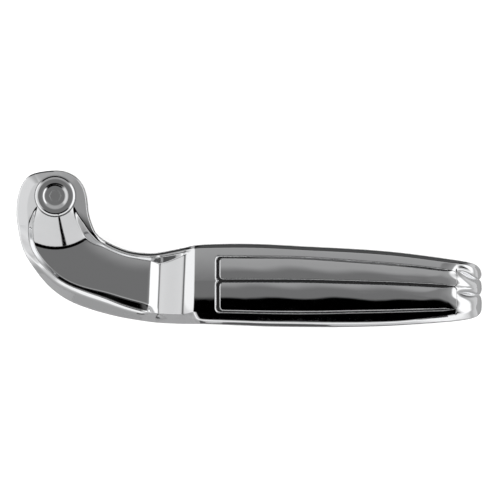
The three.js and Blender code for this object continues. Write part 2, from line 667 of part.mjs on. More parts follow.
const liner = [ANCHOR_RADIUS + RUNNING_GAP, ANCHOR_BORE - RUNNING_GAP];
place('anchor_upper_bush', ring(...liner, ...UPPER_LINER, ANCHOR.x, ANCHOR.y), nylon);
place('anchor_lower_bush', ring(...liner, ...LOWER_LINER, ANCHOR.x, ANCHOR.y), nylon);
place('cable_anchor_pin', anchorPin(), zinc);
const anchorWasher = ring(liner[0], ANCHOR_FOOT_BORE - 0.2, ...ANCHOR_WASHER, ANCHOR.x, ANCHOR.y);
place('anchor_washer', anchorWasher, nylon);
place('anchor_clip', anchorClip(), steel);

export default lever;
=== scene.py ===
"""The looks of a chromed clutch lever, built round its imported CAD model.

The lever's casting, its two blade bars and the turned parts are rebuilt here with fine surfaces
in the places that the CAD model gives. Shapes are worked out in millimetres in the CAD frame,
with the origin on the pivot axis, +X along the blade, +Y towards the handlebar and +Z up.
"""
import functools
import json
import math

import bmesh
import bpy
import mathutils
import numpy as np
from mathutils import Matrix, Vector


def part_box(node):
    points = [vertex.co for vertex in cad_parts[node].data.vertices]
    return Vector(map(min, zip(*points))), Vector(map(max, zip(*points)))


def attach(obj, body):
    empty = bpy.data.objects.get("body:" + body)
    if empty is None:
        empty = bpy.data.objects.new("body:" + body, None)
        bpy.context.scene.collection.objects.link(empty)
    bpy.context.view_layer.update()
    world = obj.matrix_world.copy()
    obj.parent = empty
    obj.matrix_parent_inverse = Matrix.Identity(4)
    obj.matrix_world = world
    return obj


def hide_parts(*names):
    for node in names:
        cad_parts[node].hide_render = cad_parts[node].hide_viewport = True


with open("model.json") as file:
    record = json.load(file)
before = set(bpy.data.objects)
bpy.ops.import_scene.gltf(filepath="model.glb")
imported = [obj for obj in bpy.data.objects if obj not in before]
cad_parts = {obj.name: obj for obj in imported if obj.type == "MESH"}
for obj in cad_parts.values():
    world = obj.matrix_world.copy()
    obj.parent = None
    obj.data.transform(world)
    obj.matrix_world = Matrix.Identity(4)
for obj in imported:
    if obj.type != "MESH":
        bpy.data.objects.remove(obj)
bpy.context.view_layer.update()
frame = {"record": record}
MM = 0.001


def box_mm(cad_node):
    """The lowest and highest corner of a CAD node, in millimetres."""
    low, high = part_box(cad_node)
    return np.array(low) / MM, np.array(high) / MM


def centre_of(cad_node):
    """The x and y of a CAD node's centre, in millimetres."""
    low, high = box_mm(cad_node)
    return (low + high)[:2] / 2


def radius_of(cad_node):
    """The outer radius of a round CAD node, in millimetres."""
    low, high = box_mm(cad_node)
    return (high[0] - low[0]) / 2


BODY_LOW, BODY_HIGH = box_mm("lever_body")
BOLT_LOW, BOLT_HIGH = box_mm("pivot_bolt")
Z_BOTTOM = BODY_LOW[2]
Z_BOSS = BODY_HIGH[2]
TIP_X = BODY_HIGH[0]

# Heights of the casting's top, above its flat underside.
Z_RIM = Z_BOTTOM + 15.4
Z_NECK = Z_BOTTOM + 12.6
Z_WAIST = Z_BOTTOM + 11.0
Z_WAIST_END = Z_BOTTOM + 14.0
Z_WAIST_RIM = Z_BOTTOM + 13.6
Z_BLADE = Z_BOTTOM + 17.0
Z_MIDDLE = Z_BOTTOM + 7.5

# Pivot end: the boss, the ramp that falls from it to the neck's floor, and the head's rim. The
# roundings of the ramp's foot and top are shares of its length.
BOSS_RADIUS = 7.9
BOSS_EDGE = 0.3
RAMP_END = 20.0
RAMP_FOOT = 0.07
RAMP_TOP = 0.015
HEAD_RIM_START = -4.0
HEAD_REAR_CREST = 4.9
HEAD_FRONT_CREST = 7.6
HEAD_BEVEL = 0.5
HEAD_SIDE = 4.0
EDGE_RADIUS = 0.3
UNDER_EDGE = 1.5
UNDER_EDGE_BLADE = 3.0
# The neck's floor falls towards the rear rim, as the square of the distance inside its reach.
CROWN = 0.009
CROWN_REACH = 8.0

# Stations along the lever: a line from the rear edge to the front edge each, as x, y twice.
STATIONS = np.array([
    [13.6, -11, -14.4, -11], [15, -14, -12.6, -19.5], [17, -15.9, -8.6, -26.9],
    [19.7, -17.6, -2.4, -34.5], [23, -19.2, 6, -40.3], [27.2, -20.7, 16, -43.9],
    [31.5, -21.5, 26, -46.3], [36, -21.8, 34.8, -47.7], [40, -21.4, 38.8, -48.2],
    [49.6, -19.4, 48.4, -48.6], [52.9, -18.7, 52.3, -48.6], [61, -18.2, 61, -48.8],
    [77, -18.2, 77, -49.5], [93, -19, 93, -49.8], [109, -19.8, 109, -49.8],
    [125, -20.9, 125, -49.4], [138.5, -22.4, 138.5, -48.6], [152, -24.3, 152, -47.5],
    [157, -25.2, 157, -46.8], [159.8, -26.3, 159.8, -46], [161.4, -28, 161.4, -44.6],
    [TIP_X, -29.8, TIP_X, -43.2],
])
HEAD = np.array([
    [12.3, -6.5], [11.6, -0.5], [9.8, 4.6], [6.2, 8.2], [1.5, 9.6], [-4, 9.4],
    [-8.9, 8.3], [-11.2, 6.6], [-13.3, 3], [-14.5, -2], [-14.8, -6.5],
])
LAST = len(STATIONS) - 1
# Station numbers: the neck's end, where the waist starts to climb, where the blade's face starts
# to rise from it, and where the face is complete.
NECK_END, WAIST_CLIMB, WAIST_END, BLADE_START = 7, 8, 9, 10
CLIMB_LENGTH = 0.9
# Rounding of the creases across the waist, in stations: at the front edge, and inside of it.
SOFT_CREASE = 0.5
NECK_CREASE = 0.12
SHARP_CREASE = 0.03

# The blade's face: a slope and a bend to the rear of the middle groove, a bend to the front of a
# flat strip beside it, and a droop towards the tip.
FACE_REAR_SLOPE = 0.03
FACE_REAR_RADIUS = 125.0
FACE_FRONT_RADIUS = 36.0
FACE_FLAT = 1.5
DROOP, DROOP_START, DROOP_LENGTH = 1.2, 110, 50

# The inlay pockets between the blade's grooves.
GROOVE_END = 152
POCKET_START = 61.2
INLAY_FLOOR = Z_BOTTOM + 12.2
INLAY_GAP = 0.35
POCKET_EDGE = 0.45
CORNER = 1.55
# From here to the tip the gaps beside the bars close up and the edges get sharp.
CLOSING_START = 147
SOFT_EDGES_END = 148
BAR_GAP_END = 0.06
EDGE_END = 0.05
# The bars: how far their middles stand proud, where that fades, and the waves in their polish.
BAR_DOME = 0.35
DOME_FADE_START, DOME_FADE = 140, 12
WAVE_HEIGHT = 0.045
WAVE_START, WAVE_END, WAVE_FADE = 64, 146, 8

# Underside: the hollow under the blade, the cable's channel, and the screws' holes. Parts that
# fit closely have a clearance of FIT.
HOLLOW_CEILING = Z_BOTTOM + 9.0
HOLLOW_START, HOLLOW_END = 57, 154
HOLLOW_WALL = 4
HOLLOW_CORNER = 3
CABLE_Z = Z_BOTTOM + 7.0
CABLE_SLOT = 4.5
CABLE_REACH = 26
SCREW_HOLE = 1.6
SWING = math.radians(25)
FIT = 0.05

# The tip closes in a quarter circle. Two grooves part its three lobes, and a seam carries the
# middle groove on. Each has a depth, the x where it starts, and the length over which it deepens.
TIP_START = 148.5
TIP_REACH = TIP_X - TIP_START + 0.05
NOTCH_CREASE = (1.7, 150.5, 7)
NOTCH_CREASE_WIDTH = 0.6
NOTCH_DIP = (1.4, 145, 14)
NOTCH_DIP_WIDTH = 2.3
SEAM = (0.3, 150, 3)
SEAM_WIDTH = 0.25
NOTCH_ENDS = (-31.7, -37.6)
SEAM_END = -35.1
NICK_DEPTH = 1.1
NICK_WIDTH = 0.8


# ---- number helpers ----
def lerp(a, b, t):
    """a where t is 0, b where it is 1, and in between."""
    return a + (b - a) * t


def clamp(t):
    return np.clip(t, 0.0, 1.0)


def smooth(t):
    """0 to 1 with flat ends."""
    t = clamp(t)
    return t * t * (3 - 2 * t)


def soft_clamp(t, k, k_top=None):
    """t held between 0 and 1, with its corners rounded over k, or the upper one over k_top."""
    h = np.maximum(k - np.abs(t), 0) / k
    t = np.maximum(t, 0) + h * h * k / 4
    k = k if k_top is None else k_top
    h = np.maximum(k - np.abs(t - 1), 0) / k
    return np.minimum(t, 1) - h * h * k / 4


def blur(values, width):
    """A table smoothed over width samples, with its ends held."""
    reach = int(width * 4)
    kernel = np.exp(-0.5 * (np.arange(-reach, reach + 1) / width) ** 2)
    kernel /= kernel.sum()
    padded = np.concatenate([
        2 * values[0] - values[reach:0:-1], values, 2 * values[-1] - values[-2:-reach - 2:-1],
    ])
    return np.convolve(padded, kernel, "valid")


def smooth_line(pairs, width):
    """A function through [x, value] pairs whose corners are rounded over width in x."""
    pairs = np.array(pairs, float)
    x = np.linspace(pairs[0, 0], pairs[-1, 0], 2000)
    step = x[1] - x[0]
    values = blur(np.interp(x, pairs[:, 0], pairs[:, 1]), width / step)
    return lambda at: np.interp(at, x, values)


# Rims by station: the crest's distance from the edge, the width of the bevel inside the crest,
# and the share of the rim's full height that the crest reaches.
rear_crest = smooth_line([[0, 2.4], [1, 1.6], [7, 1.5], [8, 1.7], [19, 1.6], [LAST, 1]], 0.3)
rear_bevel = smooth_line([
    [0, 2.2], [1, 2.5], [2, 2], [3, 0.7], [6, 0.8], [7, 1.3], [7.6, 1.6], [8, 3.2], [9, 0.8],
    [LAST, 0.5],
], 0.3)
rear_rise = smooth_line([[0, 1], [1.1, 1], [2.9, 0.4], [6, 0.4], [8, 1], [LAST, 1]], 0.15)
front_crest = smooth_line([
    [0, 4.3], [1, 3], [2, 3.3], [3, 4.6], [4, 5.9], [5, 5.9], [6, 4.5], [7, 3.6], [9, 3.7],
    [10, 4.8], [18, 4.8], [LAST, 2],
], 0.3)
front_bevel = smooth_line([
    [0, 1.4], [2, 1.3], [4, 1.3], [5, 2.1], [6, 2.8], [7, 2.9], [8, 2], [10, 1], [LAST, 0.5],
], 0.3)
front_rise = smooth_line([
    [0, 1], [2, 0.8], [2.9, 0.385], [4, 0.385], [5, 0.62], [6, 0.84], [6.6, 0.87], [7.1, 0.4],
    [7.5, 0.3], [9.5, 0.3], [10, 1], [LAST, 1],
], 0.12)
# Outer sides of the rims by station: slope near the crest, slope near the edge, and the width
# from the edge that the second slope takes.
rear_gentle = smooth_line([[0, 0], [1, 0], [3.5, 0.12], [LAST, 0.1]], 0.2)
rear_steep = smooth_line([
    [0, 0], [1, 0.1], [1.6, 0.2], [2.1, 0.8], [9.5, 0.8], [10.5, 0.62], [LAST, 0.62],
], 0.12)
rear_steep_width = smooth_line([
    [0, 0.1], [1.5, 0.5], [3, 0.8], [9, 0.9], [11, 1.5], [18, 1.4], [LAST, 1],
], 0.3)
front_gentle = smooth_line([
    [0, 0.12], [1, 0.3], [2.5, 0.54], [7, 0.54], [7.7, 1], [9.4, 1], [10.2, 0.03],
    [LAST, 0.03],
], 0.15)
front_steep = smooth_line([
    [0, 0.3], [1, 0.4], [2.5, 0.97], [9.5, 1], [10.5, 0.22], [11, 0.24], [11.5, 0.38],
    [13.1, 0.38], [13.8, 0.24], [LAST, 0.24],
], 0.3)
front_steep_width = smooth_line([
    [0, 0.5], [1, 0.6], [2.5, 2.2], [4, 4.1], [5, 4.1], [6, 3], [7, 2.3], [9.5, 2.1],
    [10.5, 1.4], [15.5, 1.4], [17.2, 3], [LAST, 2.6],
], 0.3)
# Grooves along the blade, as x, y.
rear_groove = smooth_line([[61, -22.9], [93, -23.1], [131, -25.9], [152, -28.4]], 6)
middle_groove = smooth_line([[61, -32.2], [93, -32.2], [131, -33.3], [152, -34.5]], 6)
front_groove = smooth_line([[61, -44.1], [93, -44.7], [131, -43.9], [152, -43.2]], 6)


def eased(x, k=0.2):
    """x where it is positive and 0 elsewhere, with the corner rounded over k."""
    return np.where(np.abs(x) < k, (x + k) ** 2 / (4 * k), np.maximum(x, 0))


def rounding(d, width, height):
    """How far a rounded edge lies below its crest, d from the edge."""
    t = clamp(1 - d / width)
    return height * (1 - np.sqrt(1 - t * t))


# ---- the outline ----
KNOTS = np.concatenate([STATIONS[::-1, :2], HEAD, STATIONS[:, 2:]])
SPANS = len(KNOTS) - 1
HEAD_SPANS = len(HEAD) + 1


def spline_second(t, y):
    """Second derivatives of the natural cubic spline through y at t."""
    n = len(t)
    h = np.diff(t)
    matrix = np.eye(n)
    right = np.zeros((n, y.shape[1]))
    for i in range(1, n - 1):
        matrix[i, i - 1:i + 2] = [h[i - 1], 2 * (h[i - 1] + h[i]), h[i]]
        right[i] = 6 * ((y[i + 1] - y[i]) / h[i] - (y[i] - y[i - 1]) / h[i - 1])
    return np.linalg.solve(matrix, right)


CHORDS = np.concatenate([[0], np.cumsum(np.linalg.norm(np.diff(KNOTS, axis=0), axis=1) ** 0.5)])
BENDS = spline_second(CHORDS, KNOTS)


def outline(index):
    """Points of the outline at knot numbers, which may lie between two knots."""
    index = np.atleast_1d(np.asarray(index, float))
    i = np.clip(index.astype(int), 0, SPANS - 1)
    h = CHORDS[i + 1] - CHORDS[i]
    b = (index - i)[:, None]
    a = 1 - b
    curve = (a ** 3 - a) * BENDS[i] + (b ** 3 - b) * BENDS[i + 1]
    return a * KNOTS[i] + b * KNOTS[i + 1] + curve * (h[:, None] ** 2) / 6


# The rear and the front edge, which meet on the head, in FINE steps to a span.
FINE = 24
SAMPLES = outline(np.linspace(0, SPANS, SPANS * FINE + 1))
SPLIT = int(round((LAST + HEAD_SPANS * 0.45) * FINE))
REAR_LINE, FRONT_LINE = SAMPLES[:SPLIT + 1], SAMPLES[SPLIT:]


def distance_to(line, points, chunk=4000):
    """The distance from each point to a line of many short segments."""
    a = line[:-1]
    d = line[1:] - a
    square = (d * d).sum(1)
    out = np.empty(len(points))
    for start in range(0, len(points), chunk):
        p = points[start:start + chunk, None, :]
        t = clamp(((p - a) * d).sum(2) / square)
        gap = a + t[..., None] * d - p
        out[start:start + chunk] = np.sqrt((gap * gap).sum(2).min(1))
    return out


# ---- the casting's heights ----
def rim_share(d, crest, bevel):
    """1 on a rim's crest, falling to 0 at the foot of the bevel inside it."""
    return soft_clamp(1 - (d - crest) / bevel, 0.16)


def below_seat(y):
    """0 above the pivot, rising to 1 at station 0."""
    return clamp((y - HEAD_RIM_START) / (STATIONS[0, 1] - HEAD_RIM_START))


def neck_height(x, y, station, rear, front):
    """The boss, the ramp, the neck's floor and the rim round them."""
    r = np.hypot(x, y)
    near = soft_clamp((RAMP_END - r) / (RAMP_END - BOSS_RADIUS), RAMP_FOOT, RAMP_TOP)
    crest = lerp(Z_RIM, Z_BOSS, near)
    crown = CROWN * np.maximum(CROWN_REACH - rear, 0) ** 2 * smooth(station / 2)
    floor = lerp(Z_NECK - crown, Z_BOSS, near)
    out = below_seat(y)
    crest_r = lerp(HEAD_REAR_CREST, rear_crest(station), out)
    crest_f = lerp(HEAD_FRONT_CREST, front_crest(station), out)
    bevel_r = lerp(HEAD_BEVEL, rear_bevel(station), out)
    bevel_f = lerp(HEAD_BEVEL, front_bevel(station), out)
    share_r = rim_share(rear, crest_r, bevel_r) * rear_rise(station)
    share_f = rim_share(front, crest_f, bevel_f) * front_rise(station)
    share = np.where(y > HEAD_RIM_START, 1, np.maximum(share_r, share_f))
    return lerp(floor, crest, share)


def waist_height(station, rear, climb):
    """The waist's floor, which climbs to the blade, and the rear rim beside it."""
    floor = lerp(Z_WAIST, Z_WAIST_END, climb)
    rim = rim_share(rear, rear_crest(station), rear_bevel(station)) * smooth(9.9 - station)
    return lerp(floor, Z_WAIST_RIM + climb, rim)


def blade_height(x, y):
    """The blade's face, without the grooves."""
    rear_side = np.maximum(y - middle_groove(x), 0)
    front_side = np.maximum(middle_groove(x) - FACE_FLAT - y, 0)
    rear_fall = FACE_REAR_SLOPE * rear_side
    rear_bend = rear_side ** 2 / (2 * FACE_REAR_RADIUS)
    front_bend = front_side ** 2 / (2 * FACE_FRONT_RADIUS)
    droop = DROOP * clamp((x - DROOP_START) / DROOP_LENGTH) ** 2
    return Z_BLADE - rear_fall - rear_bend - front_bend - droop


def bar_waves(x, y):
    """The slow unevenness that polishing leaves along a bar: two waves that run aslant."""
    fade = smooth((x - WAVE_START) / WAVE_FADE) * smooth((WAVE_END - x) / WAVE_FADE)
    short_wave = np.sin(x / 3.9 + y / 2.6)
    long_wave = np.sin(x / 7.3 - y / 3.1 + 1)
    return WAVE_HEIGHT * fade * (short_wave + 0.6 * long_wave)


def edge_drop(x, y, station, rear, front):
    """How far the outer sides of the casting lie below its top."""
    out = below_seat(y)
    reach = np.hypot(x, y) - BOSS_RADIUS

    def side_drop(d, crest, gentle, steep, steep_width):
        run = np.minimum(lerp(HEAD_SIDE, crest(station), out) - d, reach)
        slope = gentle(station)
        return slope * eased(run) + (steep(station) - slope) * eased(steep_width(station) - d)

    on_rear = side_drop(rear, rear_crest, rear_gentle, rear_steep, rear_steep_width)
    on_front = side_drop(front, front_crest, front_gentle, front_steep, front_steep_width)
    edge = rounding(np.minimum(rear, front), EDGE_RADIUS, EDGE_RADIUS)
    return (np.maximum(on_rear, on_front) + edge) * smooth(reach / BOSS_EDGE)


def notch_lines(x):
    """Where the two grooves between the tip's three lobes run."""
    start = np.minimum(x, GROOVE_END)
    t = smooth((x - GROOVE_END) / 9)
    first = lerp(rear_groove(start), NOTCH_ENDS[0], t)
    second = lerp(middle_groove(start) - 2.2, NOTCH_ENDS[1], t)
    return first, second


def seam_line(x):
    """Where the middle groove's thin continuation over the tip runs."""
    t = clamp((x - GROOVE_END) / 10)
    return lerp(middle_groove(np.minimum(x, GROOVE_END)), SEAM_END, t)


def deepening(x, depth, start, length):
    """A groove's depth along the blade."""
    return depth * smooth((x - start) / length)


def close_tip(x, z):
    """Heights that close on the middle height in a quarter circle at the blade's end."""
    t = clamp((x - TIP_START) / TIP_REACH)
    return lerp(Z_MIDDLE, z, np.sqrt(1 - t * t))


def shape_tip(x, y, z):
    """Rounds the end of the blade down, with grooves between its three lobes."""
    crease = deepening(x, *NOTCH_CREASE)
    dip = deepening(x, *NOTCH_DIP)
    for line in notch_lines(x):
        gap = np.abs(y - line)
        z = z - crease * np.exp(-gap / NOTCH_CREASE_WIDTH)
        z = z - dip * np.exp(-(gap / NOTCH_DIP_WIDTH) ** 2)
    z = z - deepening(x, *SEAM) * np.exp(-np.abs(y - seam_line(x)) / SEAM_WIDTH)
    return close_tip(x, z)


def groove_edge(x):
    """The radius of the edges beside the grooves."""
    return lerp(POCKET_EDGE, EDGE_END, smooth((x - CLOSING_START) / 4))


def top_height(points, station, rear, front):
    """The casting's whole top: neck, waist, blade, sides, the pockets' edges and the tip."""
    x, y = points.T
    inside = smooth((front - 1.5) / 2.2)
    sharp = lerp(SOFT_CREASE, SHARP_CREASE, inside)
    climb = soft_clamp((station - WAIST_CLIMB) / CLIMB_LENGTH, sharp)
    z = neck_height(x, y, station, rear, front)
    on_waist = soft_clamp(station - NECK_END, lerp(SOFT_CREASE, NECK_CREASE, inside))
    z = lerp(z, waist_height(station, rear, climb), on_waist)
    z = lerp(z, blade_height(x, y), soft_clamp(station - WAIST_END, sharp))
    z = z - edge_drop(x, y, station, rear, front)
    on_blade = station > 9.5
    for side in LINES:
        rim = pocket_outline(side)
        d = distance_to(np.concatenate([rim, rim[:1]]), points[on_blade])
        at_start = 0.5 * smooth((62.8 - x[on_blade]) / 1.5)
        edge = groove_edge(x[on_blade]) + at_start
        z[on_blade] -= rounding(d, edge, edge)
    return shape_tip(x, y, z)


def bottom_height(points, station, rear, front):
    """The casting's flat underside, with rounded edges and the rounded tip."""
    size = lerp(UNDER_EDGE, UNDER_EDGE_BLADE, smooth(station - WAIST_END))
    z = Z_BOTTOM + rounding(rear, UNDER_EDGE, UNDER_EDGE) + rounding(front, size, size)
    return close_tip(points[:, 0], z)


# ---- the casting's blank ----
def spread(density, length, count):
    """count places from 0 to length, close together where the density is high."""
    at = np.linspace(0, length, 1500)
    total = np.concatenate([[0], np.cumsum((density(at[1:]) + density(at[:-1])) / 2)])
    return np.interp(np.linspace(0, total[-1], count), total, at)


def bumps(at, places, gap, width):
    """Extra density for a spacing of gap within about width of each place."""
    return sum(np.exp(-((at - p) / width) ** 2) for p in places) / gap


def near_ends(at, length, reach):
    """1 at both ends of a length, fading within about reach of them."""
    return np.exp(-at / reach) + np.exp(-(length - at) / reach)


def grid_quads(at):
    """The quads between neighbours in a table of point numbers."""
    return np.stack([at[:-1, :-1], at[:-1, 1:], at[1:, 1:], at[1:, :-1]], -1).reshape(-1, 4)


# Mesh counts: points across and along the lever, round the head and out from the boss, and
# across and along a bar. Then the rings inside the boss, as shares of its radius.
ROWS, STEPS = 112, 390
HEAD_TURNS, RINGS = 150, 52
BAR_ROWS, BAR_STEPS = 64, 260
BOSS_SHARES = np.array([0.25, 0.5, 0.7, 0.84, 0.92, 0.97, 1.0])


def row_places(station, rear, front):
    """Where the rows cross one station, as shares of its width from the rear edge."""
    width = np.hypot(*(front - rear))
    crest_r, crest_f = rear_crest(station), width - front_crest(station)
    marks = [crest_r, crest_r + rear_bevel(station), crest_f - front_bevel(station), crest_f]
    if station > BLADE_START:
        x = lerp(rear[0], front[0], 0.5)
        marks += [rear[1] - line(x) for line in (rear_groove, middle_groove, front_groove)]
    if station > 17:
        marks += [rear[1] - line for line in (*notch_lines(rear[0]), seam_line(rear[0]))]

    def density(t):
        """Gaps of 0.8 mm, and finer ones at the edges, beside them and at the marks."""
        beside = np.exp(-t / 1.2) + np.exp(-(width - t) / 2.0)
        return 1 / 0.8 + near_ends(t, width, 0.25) / 0.08 + beside / 0.5 + bumps(t, marks, 0.14, 0.45)

    return spread(density, width, ROWS) / width


def station_list():
    """Station numbers close together at the creases, the pocket's end and the tip."""
    fine = np.linspace(0, LAST, 4000)
    middle = (outline(LAST - fine) + outline(LAST + HEAD_SPANS + fine)) / 2
    run = np.concatenate([[0], np.cumsum(np.hypot(*np.diff(middle, axis=0).T))])
    creases = (0, NECK_END, WAIST_CLIMB, WAIST_END, BLADE_START, LAST)
    marks = [np.interp(s, fine, run) for s in creases]
    marks += [np.interp(x, middle[:, 0], run) for x in (POCKET_START, GROOVE_END + 0.3, 160)]
    places = spread(lambda t: 1 / 0.6 + bumps(t, marks, 0.22, 0.9), run[-1], STEPS)
    return np.interp(places, run, fine)


def lever_grid(stations):
    """Plan points in rows across the lever, nicked at its end where the tip's grooves run out."""
    rears = outline(LAST - stations)
    fronts = outline(LAST + HEAD_SPANS + stations)
    shares = np.array([row_places(s, a, b) for s, a, b in zip(stations, rears, fronts)])
    grid = rears[:, None] + (fronts - rears)[:, None] * shares[..., None]
    nick = NICK_DEPTH * smooth((stations - 18.5) / 2.5)
    for line in notch_lines(rears[:, 0]):
        gap = np.abs(grid[..., 1] - line[:, None])
        grid[..., 0] -= nick[:, None] * np.exp(-gap / NICK_WIDTH)
    return grid


def head_density(at):
    """Gaps of 0.3 mm between the head's rings, and finer ones at the boss and at the edge."""
    return 1 / 0.3 + bumps(at, (0.0,), 0.2, 0.7) + np.exp(-(8 - at) / 0.5) / 0.12


def plan_of_casting():
    """Plan points, their stations, the lever's quads, the head's quads and the boss's fan."""
    stations = station_list()
    grid = lever_grid(stations)
    points = grid.reshape(-1, 2)
    numbers = np.repeat(stations, ROWS)
    at = np.arange(len(points)).reshape(len(stations), ROWS)
    quads = grid_quads(at)

    turns = outline(LAST + HEAD_SPANS * np.linspace(1, 0, HEAD_TURNS + 1)[1:-1])
    ends = np.concatenate([grid[0], turns])
    count = len(ends)
    length = np.hypot(*ends.T)
    marks = spread(head_density, 8, RINGS)[1:-1] / 8
    rings = [
        np.tile(BOSS_SHARES * BOSS_RADIUS, (count, 1)),
        BOSS_RADIUS + (length - BOSS_RADIUS)[:, None] * marks,
    ]
    reach = np.concatenate(rings, 1)
    web = ends[:, None] / length[:, None, None] * reach[..., None]
    start = len(points)
    steps = reach.shape[1]
    ids = start + np.arange(count * steps).reshape(count, steps)
    outer = np.concatenate([at[0], start + count * steps + np.arange(len(turns))])
    ids = np.concatenate([ids, outer[:, None]], 1)
    after = np.roll(ids, -1, 0)
    head_quads = np.stack([ids[:, :-1], after[:, :-1], after[:, 1:], ids[:, 1:]], -1).reshape(-1, 4)
    centre = start + count * steps + len(turns)
    points = np.concatenate([points, web.reshape(-1, 2), turns, [[0, 0]]])
    numbers = np.concatenate([numbers, np.zeros(len(points) - len(numbers))])
    fan = np.stack([np.full(count, centre), after[:, 0], ids[:, 0]], -1)
    return points, numbers, quads, head_quads, fan


def outward(points, faces):
    """The faces of one strip, turned so that they run anticlockwise seen from above."""
    a, b, c = (points[faces[0][i]] for i in range(3))
    cross = (b[0] - a[0]) * (c[1] - a[1]) - (b[1] - a[1]) * (c[0] - a[0])
    return faces if cross > 0 else faces[:, ::-1]


def raised(name, points, groups, top, bottom):
    """A closed mesh from plan points: top, bottom, and a wall round the rim."""
    groups = [outward(points, g) for g in groups]
    faces = [tuple(f) for g in groups for f in g.tolist()]
    edges = {(f[i], f[(i + 1) % len(f)]) for f in faces for i in range(len(f))}
    rim = [(a, b) for a, b in edges if (b, a) not in edges]
    n = len(points)
    verts = np.concatenate([np.column_stack([points, top]), np.column_stack([points, bottom])])
    under = [tuple(i + n for i in reversed(f)) for f in faces]
    wall = [(b, a, a + n, b + n) for a, b in sorted(rim)]
    return new_mesh(name, verts, faces + under + wall)


def new_mesh(name, verts_mm, faces):
    """An object with its faces turned outward, from points in millimetres."""
    mesh = bpy.data.meshes.new(name)
    mesh.from_pydata((np.asarray(verts_mm, float) * MM).tolist(), [], faces)
    work = bmesh.new()
    work.from_mesh(mesh)
    bmesh.ops.recalc_face_normals(work, faces=work.faces)
    work.to_mesh(mesh)
    work.free()
    obj = bpy.data.objects.new(name, mesh)
    bpy.context.scene.collection.objects.link(obj)
    return obj


def join_rings(rings):
    """The faces between rings of point numbers. A ring may hold one point over and over."""
    faces = []
    for a, b in zip(rings, rings[1:]):
        for k in range(len(a)):
            after = (k + 1) % len(a)
            faces.append(tuple(dict.fromkeys((a[k], a[after], b[after], b[k]))))
    return [face for face in faces if len(face) > 2]


# ---- cutters ----
def prism(outline_points, low, high, name="cutter"):
    """An upright prism with an anticlockwise outline."""
    points = np.array(outline_points, float)
    x, y = points.T
    if (x * np.roll(y, -1) - np.roll(x, -1) * y).sum() < 0:
        points = points[::-1]
    n = len(points)
    verts = [(*p, low) for p in points] + [(*p, high) for p in points]
    under, over = range(n), range(n, 2 * n)
    return new_mesh(name, verts, [under[::-1], over, *join_rings([under, over])])


def circle(radius, x=0.0, y=0.0, count=128):
    angle = np.arange(count) * 2 * math.pi / count
    return np.column_stack([x + radius * np.cos(angle), y + radius * np.sin(angle)])


def hexagon(flats, x=0.0, y=0.0):
    return circle(flats / math.sqrt(3), x, y, 6)


def combine(obj, others, operation="DIFFERENCE"):
    """Cuts obj by each of the others, or joins them to it, and removes them."""
    for other in others:
        modifier = obj.modifiers.new("cut", "BOOLEAN")
        modifier.operation = operation
        modifier.solver = "MANIFOLD"
        modifier.object = other
    graph = bpy.context.evaluated_depsgraph_get()
    mesh = bpy.data.meshes.new_from_object(obj.evaluated_get(graph), depsgraph=graph)
    obj.modifiers.clear()
    obj.data = mesh
    for other in others:
        bpy.data.objects.remove(other)
    return obj


def rounded_between(upper, lower, start, end, corner, steps=60):
    """The outline between two lines, with quarter-round corners, anticlockwise."""
    left, right = start + corner, end - corner
    turn = np.linspace(0, math.pi / 2, 9)
    there = np.linspace(left, right, steps)[1:-1]
    back = np.linspace(right, left, steps)[1:-1]

    def quarter(x, y, number):
        angle = number * math.pi / 2 + turn
        return np.column_stack([x + corner * np.cos(angle), y + corner * np.sin(angle)])

    return np.concatenate([
        quarter(left, lower(left) + corner, 2),
        np.column_stack([there, lower(there)]),
        quarter(right, lower(right) + corner, 3),
        quarter(right, upper(right) - corner, 0),
        np.column_stack([back, upper(back)]),
        quarter(left, upper(left) - corner, 1),
    ])


LINES = {"rear": (rear_groove, middle_groove), "front": (middle_groove, front_groove)}
EDGE_IN = {"rear": (0.1, -0.15), "front": (-0.15, 0.1)}


def screws_of(side):
    """The CAD nodes of one bar's screws."""
    return [f"{side}_bar_screw_{number}" for number in (1, 2)]


def pocket_outline(side):
    """The outline of one bar's pocket, a little inside its grooves' outer lines."""
    upper, lower = LINES[side]
    up_in, low_in = EDGE_IN[side]
    end = box_mm(f"{side}_blade_bar")[1][0] + INLAY_GAP
    return rounded_between(
        lambda x: upper(x) - up_in, lambda x: lower(x) + low_in, POCKET_START, end, CORNER,
    )


def fork_cutters():
    """The tongue's slot, which opens to the rear, the ears' bore and the nut's recess."""
    bush_low, bush_high = box_mm("lower_pivot_bush")
    low, high = bush_high[2], box_mm("upper_pivot_bush")[0][2]
    disc = prism(circle(14, count=160), low, high)
    block = prism([[-20, -6], [20, -6], [20, 14], [-20, 14]], low, high)
    bore = prism(circle(radius_of("lower_pivot_bush") + FIT), bush_low[2] - 0.5, Z_BOSS + 1)
    recess = prism(circle(radius_of("nut_washer") + 0.45), Z_BOTTOM - 1, bush_low[2])
    return [disc, block, bore, recess]


def anchor_cutters():
    """The cable's fan-shaped channel, the anchor's bore and the recess at its foot."""
    x, y = centre_of("cable_anchor_pin")
    half = CABLE_SLOT / 2
    across, along = half * math.sin(SWING), half * math.cos(SWING)
    far_x, far_y = x - CABLE_REACH * math.cos(SWING), y + CABLE_REACH * math.sin(SWING)
    fan = prism([
        [x, y - half], [x - CABLE_REACH, y - half], [far_x - across, far_y + along],
        [x + across, y + along],
    ], CABLE_Z - half, CABLE_Z + half)
    pin_top = box_mm("cable_anchor_pin")[1][2]
    washer_top = box_mm("anchor_washer")[1][2]
    bore = prism(circle(radius_of("anchor_upper_bush") + FIT, x, y), Z_BOTTOM - 1, pin_top + 0.2)
    foot = prism(circle(radius_of("anchor_washer") + 0.2, x, y), Z_BOTTOM - 1, washer_top + FIT)
    return [fan, bore, foot]


